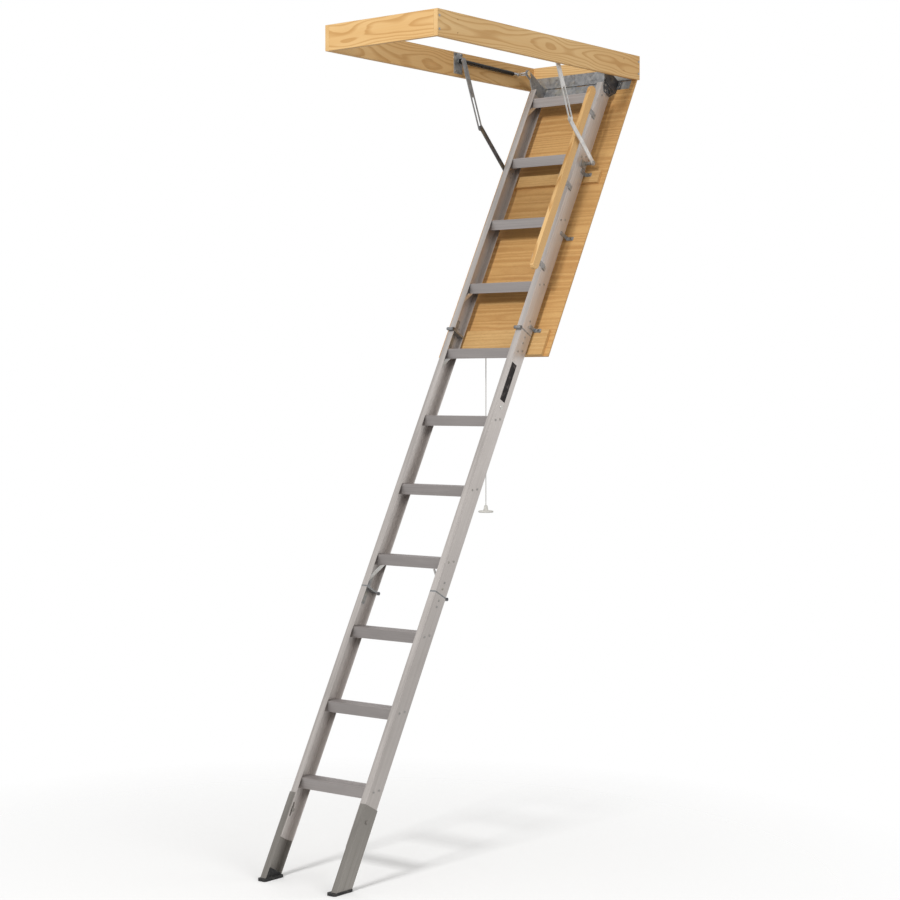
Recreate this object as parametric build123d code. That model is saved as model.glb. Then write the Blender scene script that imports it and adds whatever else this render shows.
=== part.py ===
from build123d import *
import os
from math import atan2, cos, degrees, hypot, radians, sin

# Folding attic ladder: a pine frame set in the ceiling, a plywood door on a hinge, and three
# aluminium ladder sections.  All sizes in millimetres, angles in degrees.
# Row frame: X along the frame with the hinge end at +X, Y across, Z up.  The origin is the
# centre of the frame's underside.  "right" is -Y, the side with the handrail.

# ---- frame
FRAME_LENGTH = 1359.0
FRAME_WIDTH = 559.0
FRAME_HEIGHT = 100.0
BOARD = 19.0
FIXING_HOLE_R = 2.5
FIXING_SPAN_X = 1120.0
FIXING_SPAN_Z = 50.0

# ---- door
SLOPE = 61.5
AXIS_INSET = 6.0
AXIS_RISE = 3.0
KNUCKLE_R = 4.0
PIN_R = 2.5
RUNNING_GAP = 0.05
PANEL_FACE = -4.0
PANEL_THICKNESS = 6.0
PANEL_START = 2.0
PANEL_END = 1338.0
LEAF = 2.0
HEADER_HEIGHT = 52.0
DOOR_LEAF_END = 45.0
LEAF_HALF_WIDTH = 255.0
BATTEN_THICKNESS = 15.0
BATTEN_HALF_WIDTH = 256.0
BATTENS = ((466.0, 520.0), (1222.0, 1338.0))
FLOOR = -3124.0

# ---- ladder sections, measured along the ladder from the door's hinge axis
HALF_WIDTH = 186.5
WALL = 2.0
FLANGE = 28.0
RAIL_BACK = 22.5
RAIL_FRONT = 92.5
UPPER_START = 70.0
FOLD_1 = 1262.0
FOLD_2 = 2412.0
FOLD_STANDOFF = 8.0
LOWER_END = 3430.0
TREAD_PITCH = 308.5
FIRST_TREAD = 118.0
TREAD_DEPTH = 70.0
TREAD_WALL = 2.5
TREAD_LIP = 40.0
TREAD_BACK_LIP = 8.0

# ---- knee braces: tread, place across at the top, distance below the tread at the rail
BRACES = {1: (120.0, 78.0), 4: (120.0, 78.0), 5: (120.0, 78.0), 8: (96.0, 108.0)}
BRACE_OFF = (68.0, 84.0)
BRACE_START = -8.0
BRACE_THICKNESS = 3.0
BRACE_TAB = 18.0

# ---- fold hinges
BARREL_R = 7.0
FOLD_PIN_R = 4.0
FOLD_LEAF = 3.2
LEAF_GAP = 0.4
TAB_LENGTH = 62.0
TAB_HALF = 9.5

# ---- handrail
HANDRAIL = (147.0, 1028.0)
HANDRAIL_Y = (194.0, 212.0)
HANDRAIL_OFF = (140.0, 182.0)
HANDRAIL_POSTS = (236.0, 590.0, 975.0)
POST_HALF = 11.0

# ---- brackets that carry the upper rails: place along the ladder, height of the foot
BRACKET_STATIONS = (
    (485.0, PANEL_FACE + BATTEN_THICKNESS),
    (787.0, PANEL_FACE),
    (1230.0, PANEL_FACE + BATTEN_THICKNESS),
)
BRACKET_HALF = 8.0
BRACKET_TOP = RAIL_BACK + 26.0

# ---- folding safety arms, points in the X-Z plane of the row frame
ARM_TOP = (128.0, 63.0)
ARM_KNEE = (240.0, -205.0)
ARM_FOOT = (445.0, 38.0)
ARM_LOWER_Y = (225.5, 229.5)
ARM_UPPER_Y = (230.1, 235.1)
ARM_HALF = 12.0
ARM_PIN_R = 3.0
ARM_SLOT_HALF = 7.4
ARM_SLOT_TRAVEL = 127.0

# ---- gas struts and power arms
STRUT_TIP = (522.0, 54.0)
STRUT_Y = 247.0
TUBE_R = 9.0
TUBE = (18.0, 358.0)
CHAMBER_R = 7.2
ROD_R = 4.0
PISTON = (60.0, 72.0)
POWER_ARM_Y = (189.5, 194.5)
POWER_ARM_HALF = 15.0
POWER_ARM_FOOT = 8.0
POWER_ARM_BOLTS = (20.0, 38.0)
POWER_ARM_RIVETS = ((74.0, 72.0), (95.0, 62.5))
POWER_SLOT_HALF = 7.2
POWER_SLOT_TRAVEL = 23.0
STRUT_PIN_R = 4.0

# ---- feet
SLEEVE_GAP = 0.5
SLEEVE_START = 3262.0
SLEEVE_BOLT = 3320.0
FOOT_UP = 25.0
FOOT_DOWN = 22.0
BOLT_R = 4.0
PAD = (102.0, 40.0, 10.0)

# ---- pull cord
CORD_HOLE = (1310.0, 60.0)
CORD_R = 2.0
CORD_END = -1784.0
EYE_R = 9.0
EYE_WIRE = 2.0
LOOP_R = 4.8

C = cos(radians(SLOPE))
S = sin(radians(SLOPE))
AXIS_X = FRAME_LENGTH / 2 - BOARD - AXIS_INSET
AXIS_Z = AXIS_RISE
INNER_Y = FRAME_WIDTH / 2 - BOARD
SIDES = (("left", -1), ("right", 1))
# Ladder frame: x down the ladder from the hinge axis, y towards the right side, z out of the
# door's upper face towards the climber.
LADDER = Plane(origin=(AXIS_X, 0, AXIS_Z), x_dir=(-C, 0, -S), z_dir=(-S, 0, C))

os.makedirs("parts", exist_ok=True)


# ---------------------------------------------------------------- helpers
def save(name, solids):
    """Write one node; a list is a group of separate solids."""
    shape = Compound(children=list(solids)) if isinstance(solids, (list, tuple)) else solids
    export_step(shape, f"parts/{name}.step")


def block(x0, x1, y0, y1, z0, z1):
    """Box between two corners."""
    size = Box(abs(x1 - x0), abs(y1 - y0), abs(z1 - z0))
    return Pos((x0 + x1) / 2, (y0 + y1) / 2, (z0 + z1) / 2) * size


def rod_y(x, z, y0, y1, r):
    """Cylinder along Y between two places."""
    return Pos(x, (y0 + y1) / 2, z) * Rot(90, 0, 0) * Cylinder(r, abs(y1 - y0))


def rod_z(x, y, z0, z1, r):
    return Pos(x, y, (z0 + z1) / 2) * Cylinder(r, abs(z1 - z0))


def rod_x(y, z, x0, x1, r):
    return Pos((x0 + x1) / 2, y, z) * Rot(0, 90, 0) * Cylinder(r, abs(x1 - x0))


def plate_y(points, y0, y1):
    """Plate cut from an outline in the X-Z plane, between two places along Y."""
    low, high = min(y0, y1), max(y0, y1)
    face = Plane(origin=(0, low, 0), x_dir=(1, 0, 0), z_dir=(0, -1, 0)) * make_face(
        Polyline(*points, close=True)
    )
    return extrude(face, amount=-(high - low))


def on_ladder(shape):
    """Move a shape from the ladder frame into the row frame."""
    return LADDER.location * shape


def to_ladder(x, z):
    """Row-frame point in the X-Z plane as distance down the ladder and height off the axis."""
    dx, dz = x - AXIS_X, z - AXIS_Z
    return -C * dx - S * dz, -S * dx + C * dz


def from_ladder(s, off):
    return AXIS_X - C * s - S * off, AXIS_Z - S * s + C * off


def tread_point(s, off, back, up):
    """Point a level distance behind and a plumb distance above a place on the ladder."""
    return s - C * back - S * up, off - S * back + C * up


def capsule_y(ax, az, bx, bz, half, y0, y1):
    """Bar with round ends between two points of the X-Z plane, with its thickness along Y."""
    length = hypot(bx - ax, bz - az)
    turn = degrees(atan2(bz - az, bx - ax))
    bar = block(0, length, y0, y1, -half, half)
    bar = bar + rod_y(0, 0, y0, y1, half) + rod_y(length, 0, y0, y1, half)
    return Pos(ax, 0, az) * Rot(0, -turn, 0) * bar


def tread_station(number):
    return FIRST_TREAD + (number - 1) * TREAD_PITCH


# ---------------------------------------------------------------- frame
def corner_screws():
    """Two screws through each side board into each end board."""
    screws = []
    for side in (-1, 1):
        for x in (-FRAME_LENGTH / 2 + BOARD / 2, FRAME_LENGTH / 2 - BOARD / 2):
            for z in (25.0, 75.0):
                face = side * FRAME_WIDTH / 2
                shank = rod_y(x, z, face, face - side * 45, 2.2)
                screws.append(shank + rod_y(x, z, face, face + side * 1.6, 5.0))
    return screws


def anchor_bolts():
    """Bolts that hold the anchor plates to the side boards."""
    bolts = []
    for side in (-1, 1):
        for x, z in ((104, 20), (142, 20), (142, 90), (104, 90)):
            inner = side * (INNER_Y - 3)
            shank = rod_y(x, z, inner, side * (INNER_Y + 12), 2.5)
            bolts.append(shank + rod_y(x, z, inner, inner - side * 2.4, 5.5))
    return bolts


def header_screws():
    """Screws that hold the hinge's upper leaf to the end board."""
    screws = []
    x = FRAME_LENGTH / 2 - BOARD - LEAF
    for y in (-225, -135, -45, 45, 135, 225):
        for z in (20, 40):
            screws.append(rod_x(y, z, x, x + 16, 2.2) + rod_x(y, z, x - 1.6, x, 5.0))
    return screws


def frame_board(name, board, screws):
    for screw in screws:
        board = board - screw
    save(name, board)


def build_frame():
    half_l, half_w = FRAME_LENGTH / 2, FRAME_WIDTH / 2
    corner, anchor, header = corner_screws(), anchor_bolts(), header_screws()
    for name, side in (("left", 1), ("right", -1)):
        board = block(-half_l, half_l, side * INNER_Y, side * half_w, 0, FRAME_HEIGHT)
        for x in (-FIXING_SPAN_X / 2, FIXING_SPAN_X / 2):
            for dz in (-FIXING_SPAN_Z / 2, FIXING_SPAN_Z / 2):
                z = FRAME_HEIGHT / 2 + dz
                hole = rod_y(x, z, side * (INNER_Y - 1), side * (half_w + 1), FIXING_HOLE_R)
                board = board - hole
        frame_board(f"frame_side_board_{name}", board, corner + anchor)
    hinge_end = block(half_l - BOARD, half_l, -INNER_Y, INNER_Y, 0, FRAME_HEIGHT)
    free_end = block(-half_l, -half_l + BOARD, -INNER_Y, INNER_Y, 0, FRAME_HEIGHT)
    frame_board("frame_end_board_hinge", hinge_end, corner + header)
    frame_board("frame_end_board_free", free_end, corner)
    save("frame_screws", corner + header + anchor)
    build_header_leaf(header)
    build_anchor_plates(anchor)


def knuckle_spans(first):
    """Every other stretch of the door hinge; the two leaves take turns along it."""
    count = 9
    pitch = 2 * LEAF_HALF_WIDTH / count
    spans = []
    for i in range(first, count, 2):
        low = -LEAF_HALF_WIDTH + i * pitch
        spans.append((low + 0.25, low + pitch - 0.25))
    return spans


def build_header_leaf(screws):
    """Upper leaf of the door hinge, on the inner face of the hinge end board."""
    face = FRAME_LENGTH / 2 - BOARD
    top = AXIS_Z + KNUCKLE_R
    leaf = block(face - LEAF, face, -LEAF_HALF_WIDTH, LEAF_HALF_WIDTH, top - LEAF, HEADER_HEIGHT)
    for low, high in knuckle_spans(0):
        leaf = leaf + rod_y(AXIS_X, AXIS_Z, low, high, KNUCKLE_R)
        leaf = leaf + block(AXIS_X, face, low, high, top - LEAF, top)
    leaf = leaf - rod_y(AXIS_X, AXIS_Z, -LEAF_HALF_WIDTH - 1, LEAF_HALF_WIDTH + 1, PIN_R)
    for screw in screws:
        leaf = leaf - screw
    save("frame_hinge_leaf", leaf)
    save("door_hinge_pin", rod_y(AXIS_X, AXIS_Z, -LEAF_HALF_WIDTH - 2, LEAF_HALF_WIDTH + 2, PIN_R))


def build_anchor_plates(bolts):
    """Plates on the side boards, each with one stud for a strut and a safety arm."""
    plates = []
    x, z = ARM_TOP
    for side in (-1, 1):
        back, front = side * INNER_Y, side * (INNER_Y - 3)
        plate = plate_y(((95, 10), (150, 10), (150, 97), (95, 97)), back, front)
        arm_in, arm_out = side * ARM_UPPER_Y[0], side * (ARM_UPPER_Y[1] + 0.4)
        eye_in = side * (STRUT_Y - 5.5)
        plate = plate + rod_y(x, z, front, side * (STRUT_Y + 5.4), 8.0)
        plate = plate + rod_y(x, z, front, eye_in, 5.0)
        plate = plate + rod_y(x, z, eye_in, arm_out, 7.0)
        plate = plate + rod_y(x, z, arm_out, arm_in, 4.0)
        plate = plate + rod_y(x, z, arm_in, arm_in + side * 1.7, 7.0)
        for bolt in bolts:
            plate = plate - bolt
        plates.append(plate)
    save("frame_anchor_plates", plates)


# ---------------------------------------------------------------- door
def build_door():
    half_w = FRAME_WIDTH / 2
    eye_s, eye_y = CORD_HOLE
    bolts = bracket_bolts()
    back = PANEL_FACE - PANEL_THICKNESS
    panel = block(PANEL_START, PANEL_END, -half_w, half_w, back, PANEL_FACE)
    battens = []
    for low, high in BATTENS:
        top = PANEL_FACE + BATTEN_THICKNESS
        battens.append(block(low, high, -BATTEN_HALF_WIDTH, BATTEN_HALF_WIDTH, PANEL_FACE, top))
    eye_shank = rod_z(eye_s, -eye_y, back - 1, PANEL_FACE + BATTEN_THICKNESS - 4, 2.0)
    leaf = block(6, DOOR_LEAF_END, -LEAF_HALF_WIDTH, LEAF_HALF_WIDTH, PANEL_FACE, PANEL_FACE + LEAF)
    for low, high in knuckle_spans(1):
        leaf = leaf + rod_y(0, 0, low, high, KNUCKLE_R)
        leaf = leaf + block(0, 7, low, high, PANEL_FACE, PANEL_FACE + LEAF)
    leaf = leaf - rod_y(0, 0, -LEAF_HALF_WIDTH - 1, LEAF_HALF_WIDTH + 1, PIN_R + RUNNING_GAP)
    panel = panel - eye_shank
    battens[1] = battens[1] - eye_shank
    for bolt in bolts:
        panel = panel - bolt
        leaf = leaf - bolt
        battens = [batten - bolt for batten in battens]
    save("door_panel", on_ladder(panel))
    save("door_battens", [on_ladder(batten) for batten in battens])
    save("door_hinge_leaf", on_ladder(leaf))
    build_power_arms(bolts)
    build_rail_brackets(bolts)
    build_arm_pivots()
    build_cord_eye(eye_s, -eye_y, back)
    return bolts


def bracket_bolts():
    """Bolts down through the bracket feet, the power arm feet and the hinge leaf into the door."""
    bolts = []
    for _, side in SIDES:
        for s, base in BRACKET_STATIONS:
            top = base + 3
            shank = rod_z(s, side * 208, PANEL_FACE - 5, top, 2.5)
            bolts.append(shank + rod_z(s, side * 208, top, top + 3, 5.5))
        for s in POWER_ARM_BOLTS:
            top = PANEL_FACE + LEAF + 3
            shank = rod_z(s, side * 204, PANEL_FACE - 5, top, 2.5)
            bolts.append(shank + rod_z(s, side * 204, top, top + 3, 5.5))
    for y in (-130, -45, 45, 130):
        top = PANEL_FACE + LEAF
        bolts.append(rod_z(32, y, PANEL_FACE - 5, top, 2.2) + rod_z(32, y, top, top + 2, 5.0))
    return bolts


def build_power_arms(bolts):
    """Slotted arms that stand off the door's hinge end and are pushed by the gas struts."""
    tip_s, tip_off = to_ladder(*STRUT_TIP)
    base = PANEL_FACE + LEAF
    for name, side in SIDES:
        y0, y1 = side * POWER_ARM_Y[0], side * POWER_ARM_Y[1]
        low, high = tip_s - POWER_ARM_HALF, tip_s + POWER_ARM_HALF
        heel = POWER_ARM_FOOT
        outline = ((heel, base), (66, base), (66, 62), (54, 92), (high, 112), (high, tip_off))
        post = plate_y(outline + ((low, tip_off), (low, 70), (heel, 45)), y0, y1)
        post = post + rod_y(tip_s, tip_off, y0, y1, POWER_ARM_HALF)
        slot = rod_y(tip_s, tip_off, y0, y1, POWER_SLOT_HALF)
        slot_end = tip_off - POWER_SLOT_TRAVEL
        slot = slot + rod_y(tip_s, slot_end, y0, y1, POWER_SLOT_HALF)
        slot = slot + block(tip_s - POWER_SLOT_HALF, tip_s + POWER_SLOT_HALF, y0, y1, slot_end, tip_off)
        web, cheek_out = side * HALF_WIDTH, side * (HALF_WIDTH + 3)
        foot = block(heel, 46, web, side * 212, base, base + 3)
        outline = ((heel, base), (66, base), (101.5, 24), (101.5, 70), (80, 84), (54, 92), (heel, 45))
        cheek = plate_y(outline, web, cheek_out)
        ring = rod_y(88, 42, cheek_out, side * (HALF_WIDTH + 7), 13.0)
        arm = post - slot + foot + cheek + ring
        arm = arm - rod_y(88, 42, side * (HALF_WIDTH + 1), side * (HALF_WIDTH + 8), 9.0)
        for bolt in bolts:
            arm = arm - bolt
        for rivet in bracket_rivets():
            arm = arm - rivet
        save(f"power_arm_{name}", on_ladder(arm))


def build_rail_brackets(bolts):
    """L brackets that carry the upper rails clear of the door."""
    brackets = []
    for _, side in SIDES:
        for s, base in BRACKET_STATIONS:
            outer = side * (HALF_WIDTH + 3)
            low, high = s - BRACKET_HALF, s + BRACKET_HALF
            bracket = block(low, high, side * HALF_WIDTH, outer, base, BRACKET_TOP)
            bracket = bracket + block(low, high, outer, side * 218, base, base + 3)
            for bolt in bolts:
                bracket = bracket - bolt
            for rivet in bracket_rivets():
                bracket = bracket - rivet
            brackets.append(on_ladder(bracket))
    save("rail_brackets", brackets)


def build_arm_pivots():
    """Plates on the upper rails with the studs of the safety arms' lower pivots."""
    s, off = ARM_FOOT
    pivots = []
    for _, side in SIDES:
        web, outer = side * HALF_WIDTH, side * (HALF_WIDTH + 3)
        arm_in, arm_out = side * ARM_LOWER_Y[0], side * ARM_LOWER_Y[1]
        plate = block(s - 5.5, s + 27, web, outer, RAIL_BACK + 3.5, 64)
        plate = plate + rod_y(s, off, outer, arm_in - side * 0.4, 8.0)
        plate = plate + rod_y(s, off, arm_in - side * 0.4, arm_out + side * 0.4, 5.0)
        plate = plate + rod_y(s, off, arm_out + side * 0.4, arm_out + side * 3.4, 9.0)
        for rivet in bracket_rivets():
            plate = plate - rivet
        pivots.append(on_ladder(plate))
    save("arm_pivot_plates", pivots)


def build_cord_eye(s, y, back):
    """Screw eye under the door's free end, for the pull cord."""
    shank = rod_z(s, y, back, PANEL_FACE + BATTEN_THICKNESS - 4, 2.0)
    collar = rod_z(s, y, back - 2, back, 6.0)
    ring = Pos(s, y, back - 2 - EYE_R) * Rot(0, 90, 0) * Torus(EYE_R, EYE_WIRE)
    save("cord_screw_eye", on_ladder(shank + collar + ring))


# ---------------------------------------------------------------- ladder sections
def rivet(s, off, side, grip_out, grip_in):
    """Dome-headed rivet through a rail's web, with its head outside."""
    outer = side * (HALF_WIDTH + grip_out)
    inner = side * (HALF_WIDTH - WALL - grip_in)
    body = rod_y(s, off, inner, outer, 2.4)
    head = rod_y(s, off, outer, outer + side * 1.5, 4.6)
    tail = rod_y(s, off, inner, inner - side * 1.2, 4.0)
    return body + head + tail


def bracket_rivets():
    """Rivets that hold the outside brackets to the upper rails."""
    rivets = []
    for _, side in SIDES:
        for s, _base in BRACKET_STATIONS:
            rivets.append(rivet(s, RAIL_BACK + 15, side, 3, 0))
        for off in (34.5, 56):
            rivets.append(rivet(ARM_FOOT[0] + 18, off, side, 3, 0))
        for s, off in POWER_ARM_RIVETS:
            rivets.append(rivet(s, off, side, 3, 0))
    for s in HANDRAIL_POSTS:
        rivets.append(rivet(s - 5.5, RAIL_FRONT - 14, 1, 3, 0))
        rivets.append(rivet(s + 5.5, RAIL_FRONT - 14, 1, 3, 0))
    return rivets


def tread_rivets(numbers):
    """Two rivets through each rail's web into each tread's end lug."""
    rivets = []
    for number in numbers:
        for _, side in SIDES:
            for back, down in ((14, 14), (44, 12)):
                s, off = tread_point(tread_station(number), RAIL_FRONT - 2.5, back, -down)
                rivets.append(rivet(s, off, side, 0, 3))
    return rivets


def fold_rivets(joint, towards):
    """Two rivets that hold a fold hinge's tab to each rail; towards is -1 above the fold."""
    rivets = []
    middle = (RAIL_BACK + RAIL_FRONT) / 2
    for _, side in SIDES:
        for distance in (24, 50):
            rivets.append(rivet(joint + towards * distance, middle, side, 0, FOLD_LEAF))
    return rivets


def channel(side, start, end):
    """Rail: a channel with its web outside and its flanges turned in."""
    outer, inner = side * HALF_WIDTH, side * (HALF_WIDTH - WALL)
    lip = side * (HALF_WIDTH - FLANGE)
    rail = block(start, end, inner, outer, RAIL_BACK, RAIL_FRONT)
    rail = rail + block(start, end, lip, inner, RAIL_BACK, RAIL_BACK + WALL)
    return rail + block(start, end, lip, inner, RAIL_FRONT - WALL, RAIL_FRONT)


def build_rails(section, start, end, rivets, cuts=()):
    for name, side in SIDES:
        rail = channel(side, start, end)
        for item in rivets:
            rail = rail - item
        for cut in cuts:
            rail = rail - cut
        save(f"{section}_rail_{name}", on_ladder(rail))


def tread_outline(number):
    """Tread section: ribbed top, deep front lip and short back lip, level in use."""
    s0, off0 = tread_station(number), RAIL_FRONT - 2.5
    points = [(0, -TREAD_LIP), (0, 0)]
    rib_pitch, rib_height = 10.0, 0.9
    x = 4.0
    while x + 6 < TREAD_DEPTH:
        points += [(x, 0), (x, rib_height), (x + 5, rib_height), (x + 5, 0)]
        x += rib_pitch
    points += [(TREAD_DEPTH, 0), (TREAD_DEPTH, -TREAD_BACK_LIP)]
    points += [(TREAD_DEPTH - TREAD_WALL, -TREAD_BACK_LIP), (TREAD_DEPTH - TREAD_WALL, -TREAD_WALL)]
    points += [(TREAD_WALL, -TREAD_WALL), (TREAD_WALL, -TREAD_LIP)]
    return [tread_point(s0, off0, back, up) for back, up in points]


def lug_outline(number):
    s0, off0 = tread_station(number), RAIL_FRONT - 2.5
    points = ((1, -1), (TREAD_DEPTH - 1, -1), (TREAD_DEPTH - 1, -6), (46, -26), (2, -37))
    return [tread_point(s0, off0, back, up) for back, up in points]


def build_treads(numbers, rivets):
    width = HALF_WIDTH - WALL
    for number in numbers:
        tread = plate_y(tread_outline(number), -width, width)
        for _, side in SIDES:
            tread = tread + plate_y(lug_outline(number), side * width, side * (width - 3))
        for item in rivets:
            tread = tread - item
        save(f"tread_{number:02d}", on_ladder(tread))


def tread_envelope(number):
    """Space taken by a tread and its lip, and all that lies in front of them."""
    s0, off0 = tread_station(number), RAIL_FRONT - 2.5
    points = ((TREAD_WALL, -TREAD_WALL), (TREAD_DEPTH, -TREAD_WALL), (TREAD_DEPTH, 60), (-60, 60))
    points = points + ((-60, -TREAD_LIP), (TREAD_WALL, -TREAD_LIP))
    outline = [tread_point(s0, off0, back, up) for back, up in points]
    return plate_y(outline, -HALF_WIDTH, HALF_WIDTH)


def knee_brace(number, side):
    """Strap from behind a tread's lip, out and down to the rail's web."""
    s0 = tread_station(number)
    top_y, foot = BRACES[number]
    web = HALF_WIDTH - WALL
    inner = web - BRACE_THICKNESS
    top = s0 + BRACE_START
    shift = BRACE_THICKNESS * hypot(web - top_y, foot - BRACE_START) / (web - top_y)
    tab = s0 + foot + BRACE_TAB
    points = [(top_y, top), (web, s0 + foot), (web, tab), (inner, tab)]
    points += [(inner, s0 + foot), (top_y, top + shift)]
    face = Plane(origin=(0, 0, BRACE_OFF[0])) * make_face(
        Polyline(*[(s, side * y) for y, s in points], close=True)
    )
    return extrude(face, amount=BRACE_OFF[1] - BRACE_OFF[0], dir=(0, 0, 1)) - tread_envelope(number)


def build_knee_braces(section, numbers):
    braces = []
    for number in numbers:
        for _, side in SIDES:
            braces.append(on_ladder(knee_brace(number, side)))
    save(f"{section}_knee_braces", braces)


def fold_leaf(joint, pivot, towards, odd, side, bore):
    """One leaf of a fold hinge: a tab on the web, a plate across the rail's end and knuckles."""
    near = joint + towards * LEAF_GAP
    far = joint + towards * (LEAF_GAP + FOLD_LEAF)
    outer, lip = side * (HALF_WIDTH - WALL), side * (HALF_WIDTH - FLANGE)
    middle = (RAIL_BACK + RAIL_FRONT) / 2
    leaf = block(near, far, lip, side * HALF_WIDTH, RAIL_BACK, RAIL_FRONT)
    tab_end = joint + towards * TAB_LENGTH
    leaf = leaf + block(far, tab_end, outer, outer - side * FOLD_LEAF, middle - TAB_HALF, middle + TAB_HALF)
    edge = RAIL_FRONT if pivot > middle else RAIL_BACK
    third = FLANGE / 3
    for i in range(3):
        if i % 2 != odd:
            continue
        low = lip + side * (i * third + 0.2)
        high = lip + side * ((i + 1) * third - 0.2)
        leaf = leaf + rod_y(joint, pivot, low, high, BARREL_R)
        leaf = leaf + block(near, far, low, high, edge, pivot)
    return leaf - rod_y(joint, pivot, lip - side, side * (HALF_WIDTH + 1), bore)


def build_fold(joint, pivot, rivets_above, rivets_below):
    above, below, pins = [], [], []
    for _, side in SIDES:
        upper = fold_leaf(joint, pivot, -1, 0, side, FOLD_PIN_R)
        lower = fold_leaf(joint, pivot, 1, 1, side, FOLD_PIN_R + RUNNING_GAP)
        lower = lower - knuckle_clearance(joint, pivot, side, 0, -1)
        upper = upper - knuckle_clearance(joint, pivot, side, 1, 1)
        for item in rivets_above:
            upper = upper - item
        for item in rivets_below:
            lower = lower - item
        above.append(on_ladder(upper))
        below.append(on_ladder(lower))
        lip = side * (HALF_WIDTH - FLANGE)
        pin = rod_y(joint, pivot, lip - side * 0.5, side * (HALF_WIDTH + 0.5), FOLD_PIN_R)
        pin = pin + rod_y(joint, pivot, lip - side * 0.5, lip - side * 3.5, BARREL_R)
        pin = pin + rod_y(joint, pivot, side * (HALF_WIDTH + 0.5), side * (HALF_WIDTH + 2.5), BARREL_R - 0.5)
        pins.append(on_ladder(pin))
    return above, below, pins


def knuckle_clearance(joint, pivot, side, odd, towards):
    """Space that the other leaf's knuckles turn in."""
    lip = side * (HALF_WIDTH - FLANGE)
    third = FLANGE / 3
    space = None
    for i in range(3):
        if i % 2 != odd:
            continue
        low, high = lip + side * (i * third - 0.2), lip + side * ((i + 1) * third + 0.2)
        ring = rod_y(joint, pivot, low, high, BARREL_R + 0.5)
        space = ring if space is None else space + ring
    return space


def build_sections():
    pivot_1, pivot_2 = RAIL_FRONT + FOLD_STANDOFF, RAIL_BACK - FOLD_STANDOFF
    end_gap = LEAF_GAP + FOLD_LEAF
    fold_1_up, fold_1_down = fold_rivets(FOLD_1, -1), fold_rivets(FOLD_1, 1)
    fold_2_up, fold_2_down = fold_rivets(FOLD_2, -1), fold_rivets(FOLD_2, 1)
    upper_rivets = tread_rivets(range(1, 5)) + bracket_rivets() + fold_1_up
    middle_rivets = tread_rivets(range(5, 9)) + fold_1_down + fold_2_up
    lower_rivets = tread_rivets(range(9, 12)) + fold_2_down
    slots = foot_slots()
    build_rails("upper", UPPER_START, FOLD_1 - end_gap, upper_rivets)
    build_rails("middle", FOLD_1 + end_gap, FOLD_2 - end_gap, middle_rivets)
    build_rails("lower", FOLD_2 + end_gap, LOWER_END, lower_rivets, slots)
    build_treads(range(1, 5), upper_rivets)
    build_treads(range(5, 9), middle_rivets)
    build_treads(range(9, 12), lower_rivets)
    build_knee_braces("upper", [n for n in BRACES if n < 5])
    build_knee_braces("middle", [n for n in BRACES if n > 4])
    above_1, below_1, pins_1 = build_fold(FOLD_1, pivot_1, fold_1_up, fold_1_down)
    above_2, below_2, pins_2 = build_fold(FOLD_2, pivot_2, fold_2_up, fold_2_down)
    save("upper_fold_hinge_leaves", above_1)
    save("upper_fold_hinge_pins", pins_1)
    save("middle_fold_hinge_leaves", below_1 + above_2)
    save("lower_fold_hinge_pins", pins_2)
    save("lower_fold_hinge_leaves", below_2)
    save("middle_rivets", [on_ladder(item) for item in middle_rivets])
    save("lower_rivets", [on_ladder(item) for item in lower_rivets])
    return upper_rivets


def build_label():
    """Blank protective strip on the right middle rail."""
    web = HALF_WIDTH
    strip = block(1412, 1580, web, web + 0.8, 52, 84)
    save("blank_label_strip", on_ladder(strip))


# ---------------------------------------------------------------- handrail
def build_handrail():
    low, high = HANDRAIL_OFF
    y0, y1 = HANDRAIL_Y
    radius = (high - low) / 2
    middle = (low + high) / 2
    bar = block(HANDRAIL[0] + radius, HANDRAIL[1] - radius, y0, y1, low, high)
    for s in (HANDRAIL[0] + radius, HANDRAIL[1] - radius):
        bar = bar + rod_y(s, middle, y0, y1, radius)
    bar = fillet(bar.edges().filter_by(Axis.X), 4.0)
    posts = []
    for s in HANDRAIL_POSTS:
        left, right = s - POST_HALF, s + POST_HALF
        post = block(left, right, HALF_WIDTH, HALF_WIDTH + 3, RAIL_FRONT - 22, RAIL_FRONT - 1)
        post = post + block(left, right, HALF_WIDTH + 3, y0, RAIL_FRONT - 4, RAIL_FRONT - 1)
        post = post + block(left, right, y0 - 2.5, y0, RAIL_FRONT - 4, high - 4)
        for item in bracket_rivets():
            post = post - item
        screw = rod_y(s, middle, y0 - 2.5, y0 + 9, 2.0) + rod_y(s, middle, y0 - 4, y0 - 2.5, 4.0)
        posts.append(on_ladder(post + screw))
        bar = bar - screw
    save("handrail", on_ladder(bar))
    save("handrail_brackets", posts)


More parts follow.
